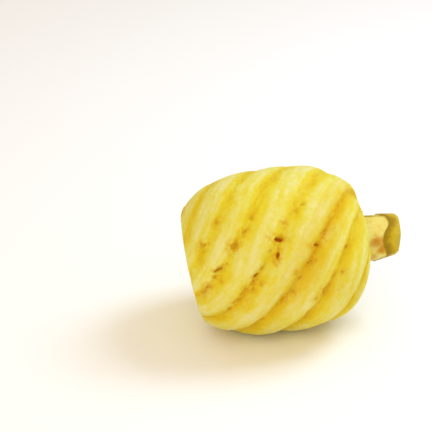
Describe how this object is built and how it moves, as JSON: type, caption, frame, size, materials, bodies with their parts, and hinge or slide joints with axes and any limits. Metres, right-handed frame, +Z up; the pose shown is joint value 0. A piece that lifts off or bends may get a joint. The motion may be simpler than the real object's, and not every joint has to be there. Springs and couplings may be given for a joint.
{
  "type": "peeled pineapple",
  "caption": "Small whole peeled pineapple lying on its side, with spiral grooves where its eyes were cut out, a flat cut crown end and a short stub of stalk.",
  "frame": {"origin": "on the surface it lies on, under the middle of its bounding box", "axes": "+X along the fruit from the cut crown end to the stalk, +Z up, -Y the side that shows"},
  "size_m": [0.1081, 0.0813, 0.0798],
  "materials": {
    "flesh": "moist yellow fruit flesh, soft sheen"
  },
  "bodies": {
    "root": {"peeled_pineapple": "flesh"}
  },
  "joints": []
}
